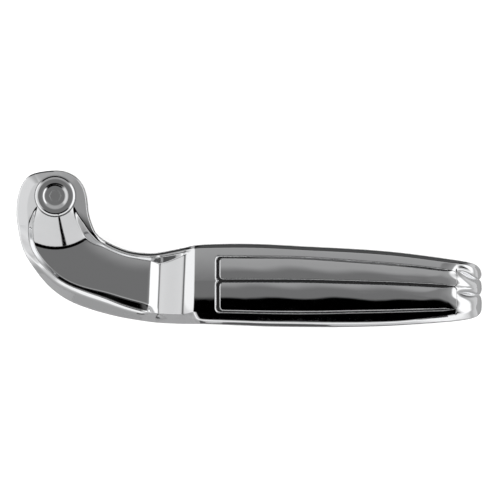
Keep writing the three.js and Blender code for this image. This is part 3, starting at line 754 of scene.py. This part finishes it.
def screw_hole(screw, low, high):
    """A cutter for the clearance hole of a bar's screw."""
    return prism(circle(SCREW_HOLE, *centre_of(screw), 48), low, high)


def blade_cutters():
    """The hollow under the blade, the two bars' pockets and the screw holes."""
    x, rears, _, fronts = STATIONS[WAIST_END:].T
    rear = smooth_line(np.column_stack([x, rears]), 2)
    front = smooth_line(np.column_stack([x, fronts]), 2)
    hollow = rounded_between(
        lambda t: rear(t) - HOLLOW_WALL, lambda t: front(t) + HOLLOW_WALL,
        HOLLOW_START, HOLLOW_END, HOLLOW_CORNER,
    )
    cutters = [prism(hollow, Z_BOTTOM - 1, HOLLOW_CEILING)]
    for side in LINES:
        cutters.append(prism(pocket_outline(side), INLAY_FLOOR, Z_BLADE + 3))
        cutters += [screw_hole(s, HOLLOW_CEILING - 1, INLAY_FLOOR + 1) for s in screws_of(side)]
    return cutters


def lever_casting():
    """The one casting of head, neck, waist and blade, with its slot, bores and pockets."""
    points, numbers, quads, head_quads, fan = plan_of_casting()
    edges = distance_to(REAR_LINE, points), distance_to(FRONT_LINE, points)
    obj = raised(
        "lever_casting", points, [quads, head_quads, fan],
        top_height(points, numbers, *edges), bottom_height(points, numbers, *edges),
    )
    return combine(obj, fork_cutters() + anchor_cutters() + blade_cutters())


# ---- the blade's bars ----
def blade_bar(side):
    """One convex bar between its grooves, with rounded ends and edges."""
    upper, lower = LINES[side]
    bar_low, bar_high = box_mm(f"{side}_blade_bar")
    start, end = bar_low[0], bar_high[0] + INLAY_GAP - BAR_GAP_END
    length = end - start
    xs = start + spread(lambda t: 1 / 0.4 + near_ends(t, length, 0.8) / 0.08, length, BAR_STEPS)
    inset = 0.1 + lerp(INLAY_GAP, BAR_GAP_END, smooth((xs - CLOSING_START) / 5))
    in_end = np.minimum(xs - start, end - xs)
    cut = CORNER - np.sqrt(np.maximum(CORNER ** 2 - np.maximum(CORNER - in_end, 0) ** 2, 0))
    tops = upper(xs) - inset - cut
    bottoms = lower(xs) + inset + cut
    shares = spread(lambda t: 1 / 0.5 + near_ends(t, 10, 0.35) / 0.05, 10, BAR_ROWS) / 10
    grid = np.empty((BAR_STEPS, BAR_ROWS, 2))
    grid[..., 0] = xs[:, None]
    grid[..., 1] = lerp(tops[:, None], bottoms[:, None], shares[None, :])
    points = grid.reshape(-1, 2)
    rim = np.concatenate([
        grid[:, 0], grid[-1, 1:-1], grid[::-1, -1], grid[0, -2:0:-1], grid[:1, 0],
    ])
    d = distance_to(rim, points)
    x, y = points.T
    side_to_side = 2 * (y - lower(x)) / (upper(x) - lower(x)) - 1
    fade = 1 - smooth((x - DOME_FADE_START) / DOME_FADE)
    proud = BAR_DOME * (1 - side_to_side ** 2) * fade
    edges = groove_edge(x)
    top = shape_tip(x, y, blade_height(x, y) + proud + bar_waves(x, y)) - rounding(d, edges, edges)
    base = np.full(len(x), bar_low[2])
    quads = grid_quads(np.arange(len(points)).reshape(BAR_STEPS, BAR_ROWS))
    bar = raised(f"{side}_blade_strip", points, [quads], top, base)
    return combine(bar, [
        screw_hole(screw, bar_low[2] - 1, box_mm(screw)[1][2] + 0.2) for screw in screws_of(side)
    ])


# ---- turned parts ----
def fillet(profile, radius):
    """A closed [r, z] profile with its corners off the axis rounded.

    A corner's third value, where it has one, takes the place of radius.
    """
    sizes = [p[2] if len(p) > 2 else radius for p in profile]
    profile = [np.array(p[:2], float) for p in profile]
    out = []
    n = len(profile)
    for i, here in enumerate(profile):
        before, after = profile[i - 1] - here, profile[(i + 1) % n] - here
        size = min(sizes[i], 0.48 * np.hypot(*before), 0.48 * np.hypot(*after))
        steps = 4 + int(6 * size)
        if here[0] < 1e-6 or size < 1e-6:
            out.append(here)
            continue
        a = here + before / np.hypot(*before) * size
        b = here + after / np.hypot(*after) * size
        for t in np.linspace(0, 1, steps + 1):
            out.append((1 - t) ** 2 * a + 2 * t * (1 - t) * here + t ** 2 * b)
    return np.array(out)


def ring_profile(inner, outer, low, high):
    return [(inner, low), (outer, low), (outer, high), (inner, high)]


def turned(name, profile, x=0.0, y=0.0, radius=0.15, count=144):
    """A closed profile turned about an upright axis, with rounded corners."""
    verts, ids = [], []
    for r, z in fillet(profile, radius):
        if r < 1e-6:
            ids.append([len(verts)] * count)
            verts.append((x, y, z))
        else:
            ids.append(range(len(verts), len(verts) + count))
            verts += [(px, py, z) for px, py in circle(r, x, y, count)]
    return new_mesh(name, verts, join_rings(ids + ids[:1]))


# Radii of the bolt's shoulder, its thread, the anchor's barrel and the barrel's clip groove.
SHOULDER = 4.75
THREAD = 3.0
BARREL = 4.75
CLIP_GROOVE = 4.2
SLEEVE = radius_of("pivot_sleeve")
# The name and the inner radius of the ring that stands for each CAD node.
RINGS_OF = {
    "upper_pivot_bush": ("upper_bronze_bush", SHOULDER + FIT),
    "lower_pivot_bush": ("lower_bronze_bush", SHOULDER + FIT),
    "pivot_sleeve": ("steel_pivot_sleeve", SHOULDER + FIT),
    "upper_thrust_washer": ("upper_nylon_washer", SLEEVE + 0.1),
    "lower_thrust_washer": ("lower_nylon_washer", SLEEVE + 0.1),
    "nut_washer": ("plain_nut_washer", THREAD + FIT),
    "nut_lock_ring": ("nylon_lock_ring", THREAD + FIT),
    "anchor_upper_bush": ("anchor_upper_liner", BARREL + FIT),
    "anchor_lower_bush": ("anchor_lower_liner", BARREL + FIT),
    "anchor_washer": ("anchor_nylon_washer", BARREL + FIT),
}


def ring_piece(cad_node, name, inner):
    """A plain ring with the CAD node's height and outer size."""
    low, high = box_mm(cad_node)
    profile = ring_profile(inner, radius_of(cad_node), low[2], high[2])
    return turned(name, profile, *centre_of(cad_node), 0.12)


THREAD_DEPTH = 0.55


def threaded(name, radius, low, high, x=0.0, y=0.0, pitch=1.0, count=96):
    """A rod with a cut thread that runs out at both of its closed ends."""
    steps = int((high - low) / pitch * 12)
    deep = THREAD_DEPTH * pitch
    angle = np.arange(count) * 2 * math.pi / count
    verts = [(x, y, low)]
    for z in np.linspace(low, high, steps):
        phase = (z / pitch - angle / (2 * math.pi)) % 1.0
        depth = deep * np.abs(2 * phase - 1)
        ends = smooth(min(z - low, high - z) / (0.6 * pitch))
        r = radius - deep + (deep - depth) * ends
        verts += list(zip(x + r * np.cos(angle), y + r * np.sin(angle), np.full(count, z)))
    verts.append((x, y, high))
    rings = [range(1 + i * count, 1 + (i + 1) * count) for i in range(steps)]
    rings = [[0] * count, *rings, [len(verts) - 1] * count]
    return new_mesh(name, verts, join_rings(rings))


def pivot_bolt():
    """A shoulder bolt with a rounded head, a dished face and a key socket."""
    head_low = Z_BOSS + FIT
    head = radius_of("pivot_bolt")
    top = BOLT_HIGH[2]
    shoulder_end = box_mm("nut_washer")[1][2]
    dish, depth = 4.8, 0.4
    bolt = turned("pivot_shoulder_bolt", [
        (0, shoulder_end), (SHOULDER, shoulder_end, 0.05), (SHOULDER, head_low, 0.02),
        (head, head_low, 0.2), (head, top - 0.45, 0.12), (head - 0.85, top, 0.7), (dish, top, 0.4),
        (dish - 0.9, top - depth, 0.4), (0, top - depth),
    ], count=192)
    combine(bolt, [threaded("shank", THREAD, BOLT_LOW[2], shoulder_end + 0.4)], "UNION")
    return combine(bolt, [prism(hexagon(4), top - 4.5, top)])


def pivot_nut(flats=10, counterbore=4):
    """A nut whose corners are turned down at both faces, with a seat for its nylon ring."""
    low, high = box_mm("pivot_nut")
    nut = prism(hexagon(flats), low[2], high[2], "pivot_lock_nut")
    corner = flats / math.sqrt(3) + FIT
    face = flats / 2 - 0.1
    bevel = (high[2] - low[2]) * 0.2
    crown = turned("crown", [
        (0, low[2] - 1e-3), (face, low[2] - 1e-3), (corner, low[2] + bevel),
        (corner, high[2] - bevel), (face, high[2] + 1e-3), (0, high[2] + 1e-3),
    ], radius=0.001)
    combine(nut, [crown], "INTERSECT")
    return combine(nut, [
        prism(circle(THREAD + FIT), low[2] - 1, high[2] + 1),
        prism(circle(counterbore), low[2] - 1, box_mm("nut_lock_ring")[1][2] + FIT),
    ])


def wave_washer(thick=0.35):
    """A thin spring ring with three waves."""
    low, high = box_mm("wave_washer")
    profile = ring_profile(SLEEVE + 0.2, radius_of("wave_washer"), 0, thick)
    obj = turned("wave_spring_washer", profile, radius=0.06, count=180)
    swell = (high[2] - low[2] - thick) / 2
    for v in obj.data.vertices:
        angle = math.atan2(v.co.y, v.co.x)
        v.co.z += (low[2] + swell * (1 + math.cos(3 * angle))) * MM
    return obj


def anchor_pin():
    """The barrel that holds the cable's end, with a cross hole, a wider seat and a clip groove."""
    low, high = box_mm("cable_anchor_pin")
    x, y = centre_of("cable_anchor_pin")
    clip_low, clip_high = box_mm("anchor_clip")
    pin = turned("cable_end_barrel", [
        (0, low[2]), (BARREL - 0.1, low[2]), (BARREL, clip_low[2] - FIT),
        (CLIP_GROOVE, clip_low[2] - FIT), (CLIP_GROOVE, clip_high[2] + FIT),
        (BARREL, clip_high[2] + FIT), (BARREL, high[2]), (0, high[2]),
    ], x, y, 0.3)
    holes = []
    for radius, start, end in ((1.3, -6, 1), (2.6, -0.5, 6)):
        hole = prism(circle(radius, count=64), start, end)
        for v in hole.data.vertices:
            px, py, pz = v.co / MM
            v.co = ((x + pz) * MM, (y + px) * MM, (CABLE_Z + py) * MM)
        holes.append(hole)
    return combine(pin, holes)


def anchor_clip():
    """An open spring clip, held in the barrel's groove."""
    low, high = box_mm("anchor_clip")
    x, y = centre_of("cable_anchor_pin")
    gap = math.radians(27)
    steps = 120
    section = fillet(ring_profile(CLIP_GROOVE + FIT, y - low[1], low[2], high[2]), 0.1)
    n = len(section)
    verts = []
    for angle in np.linspace(gap, 2 * math.pi - gap, steps):
        verts += [(x + r * math.cos(angle), y + r * math.sin(angle), z) for r, z in section]
    rings = [range(i * n, (i + 1) * n) for i in range(steps)]
    return new_mesh("spring_clip", verts, [rings[0][::-1], rings[-1], *join_rings(rings)])


def bar_screw(cad_node, name):
    """A small cap screw with a key socket and a threaded shank."""
    low, high = box_mm(cad_node)
    x, y = centre_of(cad_node)
    seat = HOLLOW_CEILING - FIT
    cap = turned(name, ring_profile(0, radius_of(cad_node), low[2], seat), x, y, 0.3, 96)
    combine(cap, [threaded("shank", 1.5, seat - 0.4, high[2], x, y, 0.5, 64)], "UNION")
    return combine(cap, [prism(hexagon(2, x, y), low[2] - 1, low[2] + 1.2)])


# ---- shading nodes ----
def feed(tree, made, inputs):
    """Gives inputs of a node their plain values, or links them to other nodes' sockets."""
    for key, value in inputs.items():
        if isinstance(value, bpy.types.NodeSocket):
            tree.links.new(value, made.inputs[key])
        else:
            made.inputs[key].default_value = value
    return made


def node(tree, kind, inputs=None, **settings):
    """Adds a shader node."""
    made = tree.nodes.new("ShaderNode" + kind)
    for key, value in settings.items():
        setattr(made, key, value)
    return feed(tree, made, inputs or {})


def calc(tree, operation, *values):
    """The result of a math node."""
    return node(tree, "Math", dict(enumerate(values)), operation=operation).outputs[0]


def scaled(tree, vector, scale):
    """A vector or colour times a number."""
    return node(tree, "VectorMath", {0: vector, "Scale": scale}, operation="SCALE").outputs[0]


def ramp(tree, factor, stops):
    """A grey ColorRamp through (place, value) stops."""
    made = node(tree, "ValToRGB", {"Fac": factor})
    made.color_ramp.interpolation = "EASE"
    elements = made.color_ramp.elements
    while len(elements) < len(stops):
        elements.new(0.5)
    for element, (place, value) in zip(elements, sorted(stops)):
        element.position = place
        element.color = (value, value, value, 1)
    return made.outputs["Color"]


def noise(tree, at, scale, detail=2.0, stretch=(1, 1, 1), seed=0.0):
    """Noise from 0 to 1. The scale is in cells per millimetre."""
    place = node(tree, "Mapping", {
        "Vector": at, "Scale": stretch, "Location": (seed, seed, seed),
    })
    made = node(tree, "TexNoise", {
        "Vector": place.outputs[0], "Scale": scale, "Detail": detail, "Roughness": 0.55,
    })
    return made.outputs["Fac"]


def new_material(name):
    """A material, its node tree and its main shader."""
    made = bpy.data.materials.new(name)
    made.use_nodes = True
    return made, made.node_tree, made.node_tree.nodes["Principled BSDF"]


def pocket_shade_mask(tree, at):
    """1 deep in the blade's pockets, where shade is painted into the casting's colour together with the
    duller plating that recesses get, 0 elsewhere on the casting.
    """
    x, y, z = node(tree, "SeparateXYZ", {0: at}).outputs
    rear_edge = calc(tree, "MULTIPLY_ADD", x, -0.055, -19.2)
    limits = [
        ("GREATER_THAN", x, POCKET_START - 0.1), ("LESS_THAN", x, GROOVE_END + 0.4),
        ("GREATER_THAN", z, INLAY_FLOOR - 0.2), ("LESS_THAN", z, Z_BLADE - 2.2),
        ("LESS_THAN", y, rear_edge), ("GREATER_THAN", y, -45.0),
    ]
    tests = [calc(tree, *limit) for limit in limits]
    return functools.reduce(lambda one, other: calc(tree, "MULTIPLY", one, other), tests)


def material(name, colour, metallic, polish, waves, grain, scratches, tint, soften):
    """A finish with its own unevenness. On the casting, shade is also painted into the colour deep in
    the blade's pockets.

    polish: lowest and highest roughness. waves: height in mm of slow unevenness under the finish.
    grain: height in mm of fine pits. scratches: share of roughness that fine scratches add.
    tint: how much the colour varies. soften: radius in mm of the edges, before the tip.
    """
    made, tree, shader = new_material(name)
    at = scaled(tree, node(tree, "TexCoord").outputs["Object"], 1 / MM)
    slow = noise(tree, at, 0.085, 2.0)
    cloud = noise(tree, at, 0.35, 4.0, seed=7)
    fine = noise(tree, at, 5.0, 3.0, seed=3)
    marks = noise(tree, at, 6.0, 2.0, (0.04, 1.0, 1.0), seed=11)
    scratch = calc(tree, "MULTIPLY", calc(tree, "GREATER_THAN", marks, 0.66), scratches)
    spread_out = ramp(tree, cloud, [(0.3, 0.0), (0.75, 1.0)])
    rough = calc(tree, "MULTIPLY_ADD", spread_out, polish[1] - polish[0], polish[0])
    shade = calc(tree, "MULTIPLY_ADD", cloud, -2 * tint, 1 + tint)
    if name == "chromed_casting":
        # Painted shade: deep in the pockets the casting's colour is darkened to 0.15 of itself,
        # standing for shadow there as well as for duller plating.
        painted_pocket_shade = calc(tree, "MULTIPLY_ADD", pocket_shade_mask(tree, at), -0.85, 1.0)
        shade = calc(tree, "MULTIPLY", shade, painted_pocket_shade)
    x = node(tree, "SeparateXYZ", {0: at}).outputs[0]
    radius = calc(tree, "MULTIPLY", calc(tree, "LESS_THAN", x, SOFT_EDGES_END), soften * MM)
    edge = node(tree, "Bevel", {"Radius": radius}, samples=6).outputs[0]
    height = calc(tree, "ADD", calc(tree, "MULTIPLY", slow, waves), calc(tree, "MULTIPLY", fine, grain))
    bump = node(tree, "Bump", {
        "Strength": 1.0, "Distance": MM, "Height": height, "Normal": edge,
    })
    feed(tree, shader, {
        "Base Color": scaled(tree, colour, shade), "Metallic": metallic,
        "Roughness": calc(tree, "ADD", rough, scratch), "Normal": bump.outputs[0],
    })
    return made


# Each row: colour, metallic, polish, waves, grain, scratches, tint, soften.
FINISHES = {
    "chromed_casting": ((0.93, 0.935, 0.945), 1, (0.03, 0.075), 0.05, 0, 0.05, 0.01, 0.25),
    "chromed_bars": ((0.93, 0.935, 0.945), 1, (0.03, 0.07), 0.05, 0, 0.05, 0.01, 0.15),
    "chromed_bolt": ((0.92, 0.925, 0.935), 1, (0.04, 0.10), 0.01, 0, 0.05, 0.02, 0.1),
    "ground_steel": ((0.55, 0.56, 0.58), 1, (0.22, 0.34), 0, 0.004, 0.1, 0.05, 0.1),
    "spring_steel": ((0.30, 0.31, 0.33), 1, (0.28, 0.45), 0, 0.003, 0.1, 0.1, 0.05),
    "zinc_plated_steel": ((0.66, 0.68, 0.70), 1, (0.18, 0.34), 0, 0.004, 0.12, 0.08, 0.12),
    "bronze_bush": ((0.62, 0.40, 0.19), 1, (0.28, 0.45), 0, 0.008, 0.08, 0.12, 0.1),
    "nylon": ((0.84, 0.82, 0.76), 0, (0.38, 0.55), 0, 0.006, 0, 0.03, 0.1),
}

# ---- assembly ----
RECORD = frame["record"]
BODY_OF = {n: body for body, nodes in RECORD["behaviour"]["bodies"].items() for n in nodes}
SLOT_OF = {part["node"]: part["material_slot"] for part in RECORD["subparts"]}
MATERIALS = {name: material(name, *finish) for name, finish in FINISHES.items()}


def stands_for(piece, cad_node, crease=35):
    """Puts a finished piece in the place of a CAD node: its body, its finish and its shading."""
    slot = SLOT_OF[cad_node]
    piece.data.materials.clear()
    piece.data.materials.append(MATERIALS[slot])
    piece.data.polygons.foreach_set("use_smooth", [True] * len(piece.data.polygons))
    piece.data.set_sharp_from_angle(angle=math.radians(crease))
    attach(piece, BODY_OF[cad_node])
    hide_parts(cad_node)


stands_for(lever_casting(), "lever_body")
for bar_side in LINES:
    stands_for(blade_bar(bar_side), f"{bar_side}_blade_bar")
    for screw_node in screws_of(bar_side):
        stands_for(bar_screw(screw_node, screw_node.replace("bar", "cap")), screw_node)
for ring_node, (ring_name, ring_inner) in RINGS_OF.items():
    stands_for(ring_piece(ring_node, ring_name, ring_inner), ring_node)
stands_for(pivot_bolt(), "pivot_bolt")
stands_for(pivot_nut(), "pivot_nut")
stands_for(wave_washer(), "wave_washer")
stands_for(anchor_pin(), "cable_anchor_pin")
stands_for(anchor_clip(), "anchor_clip")


# ---- studio ----
# Brightness by angle from straight up, in degrees, for the four sides of the studio.
SIDES = {
    "left": [(0, 0.16), (8, 0.16), (20, 0.55), (45, 0.72), (62, 0.95), (90, 0.95)],
    "right": [
        (0, 0.16), (10, 0.2), (30, 0.3), (38, 1.1), (58, 1.1), (68, 0.45), (80, 0.6), (90, 0.62),
    ],
    "rear": [
        (0, 0.16), (15, 0.33), (45, 0.4), (53, 0), (62, 0), (66, 0.09), (74, 0.07), (79, 0),
        (93, 0), (100, 0.4),
    ],
    "front": [
        (0, 0.16), (14, 0.16), (19, 0), (45, 0), (49, 0.62), (53, 0.66), (55.5, 0.97), (59, 0.97),
        (63, 0.6), (70, 0.42), (90, 0.33),
    ],
}
# Dark stands at the front of the studio: azimuth, half its width, and the angles from straight
# up between which it stands, in degrees, and the share of the light that it lets through.
STANDS = [(-82, 2.0, 47, 56, 0.0), (-88, 14, 70, 86, 0.22)]


def either(tree, factor, low, high):
    """The colour low where the factor is 0, high where it is 1."""
    return node(tree, "Mix", {"Factor": factor, 6: low, 7: high}, data_type="RGBA").outputs[2]


def behind_stands(tree, seen, azimuth, zenith):
    """The studio's light with the dark stands in front of it."""
    for heading, half, low, high, through in STANDS:
        off = calc(tree, "ABSOLUTE", calc(tree, "SUBTRACT", azimuth, heading))
        past = calc(tree, "MAXIMUM", calc(tree, "SUBTRACT", off, half), 0.0)
        beside = calc(tree, "SMOOTH_MIN", past, 1.0, 0.1)
        above = calc(tree, "LESS_THAN", zenith, low)
        below = calc(tree, "GREATER_THAN", zenith, high)
        clear = calc(tree, "MAXIMUM", beside, calc(tree, "MAXIMUM", above, below))
        clear = calc(tree, "MAXIMUM", clear, through)
        seen = scaled(tree, seen, clear)
    return seen


def studio():
    """A surround that is white to the camera and has four different sides in reflections."""
    world = bpy.data.worlds.new("studio")
    bpy.context.scene.world = world
    world.use_nodes = True
    tree = world.node_tree
    tree.nodes.clear()
    at = node(tree, "TexCoord").outputs["Generated"]
    x, y, z = node(tree, "SeparateXYZ", {0: at}).outputs
    angle = calc(tree, "DIVIDE", calc(tree, "ARCCOSINE", z), math.pi)
    looks = {
        side: ramp(tree, angle, [(place / 180, value) for place, value in stops])
        for side, stops in SIDES.items()
    }
    square = calc(tree, "MULTIPLY", x, x)
    flat = calc(tree, "ADD", square, calc(tree, "MULTIPLY", y, y))
    ratio = calc(tree, "DIVIDE", square, calc(tree, "MAXIMUM", flat, 1e-6))
    share = ramp(tree, ratio, [(0.38, 0.0), (0.72, 1.0)])
    sideways = either(tree, calc(tree, "GREATER_THAN", x, 0.0), looks["left"], looks["right"])
    endways = either(tree, calc(tree, "GREATER_THAN", y, 0.0), looks["front"], looks["rear"])
    azimuth = calc(tree, "MULTIPLY", calc(tree, "ARCTAN2", y, x), 180 / math.pi)
    zenith = calc(tree, "MULTIPLY", angle, 180)
    seen = behind_stands(tree, either(tree, share, endways, sideways), azimuth, zenith)
    camera_ray = node(tree, "LightPath").outputs["Is Camera Ray"]
    colour = either(tree, camera_ray, seen, (1, 1, 1, 1))
    back = node(tree, "Background", {"Color": colour, "Strength": 1.0})
    node(tree, "OutputWorld", {"Surface": back.outputs[0]})


FLOOR_REACH = 1500
FLOOR_REFLECTION = (0.157, 0.157, 0.157, 1)


def floor():
    """A plain pale floor that the lever lies on, which looks darker in reflections."""
    corners = ((-1, -1), (1, -1), (1, 1), (-1, 1))
    slab = new_mesh("studio_floor", [
        (x * FLOOR_REACH, y * FLOOR_REACH, Z_BOTTOM - 0.02) for x, y in corners
    ], [(0, 1, 2, 3)])
    made, tree, shader = new_material("pale_floor")
    at = node(tree, "TexCoord").outputs["Object"]
    mottle = node(tree, "TexNoise", {"Vector": at, "Scale": 6.0, "Detail": 3.0}).outputs["Fac"]
    pale = ramp(tree, mottle, [(0.2, 0.88), (0.8, 0.9)])
    glossy = node(tree, "LightPath").outputs["Is Glossy Ray"]
    feed(tree, shader, {
        "Base Color": either(tree, glossy, pale, FLOOR_REFLECTION), "Roughness": 0.8,
    })
    slab.data.materials.append(made)


LAMPS = {"lamp_left": (-1.0, -0.6, 1.6), "lamp_right": (1.2, 0.8, 1.6)}
LAMP_SIZE = 1.6
LAMP_ENERGY = 60


def soft_lamp(name, place):
    """A wide soft lamp aimed at the lever. Reflections don't show it."""
    lamp = bpy.data.lights.new(name, "AREA")
    lamp.size = LAMP_SIZE
    lamp.energy = LAMP_ENERGY
    obj = bpy.data.objects.new(name, lamp)
    obj.location = place
    aim = VIEW_CENTRE - np.array(place)
    obj.rotation_mode = "QUATERNION"
    obj.rotation_quaternion = mathutils.Vector(aim).to_track_quat("-Z", "Y")
    obj.visible_glossy = False
    obj.visible_camera = False
    bpy.context.scene.collection.objects.link(obj)


VIEW_CENTRE = np.array([73.8, -20.5, Z_BOTTOM + 12]) * MM
VIEW_WIDTH = 190 * MM
VIEW_HEIGHT = 2.4
SENSOR = 36


def camera():
    """A long lens straight above, with the handlebar side at the top of the picture."""
    data = bpy.data.cameras.new("camera")
    data.sensor_width = SENSOR
    data.lens = SENSOR * VIEW_HEIGHT / VIEW_WIDTH
    data.clip_start = 0.05
    data.clip_end = 20
    obj = bpy.data.objects.new("camera", data)
    obj.location = VIEW_CENTRE + np.array([0, 0, VIEW_HEIGHT])
    bpy.context.scene.collection.objects.link(obj)
    bpy.context.scene.camera = obj


studio()
floor()
for lamp_name, lamp_place in LAMPS.items():
    soft_lamp(lamp_name, lamp_place)
camera()
bpy.context.scene.view_settings.view_transform = "Standard"
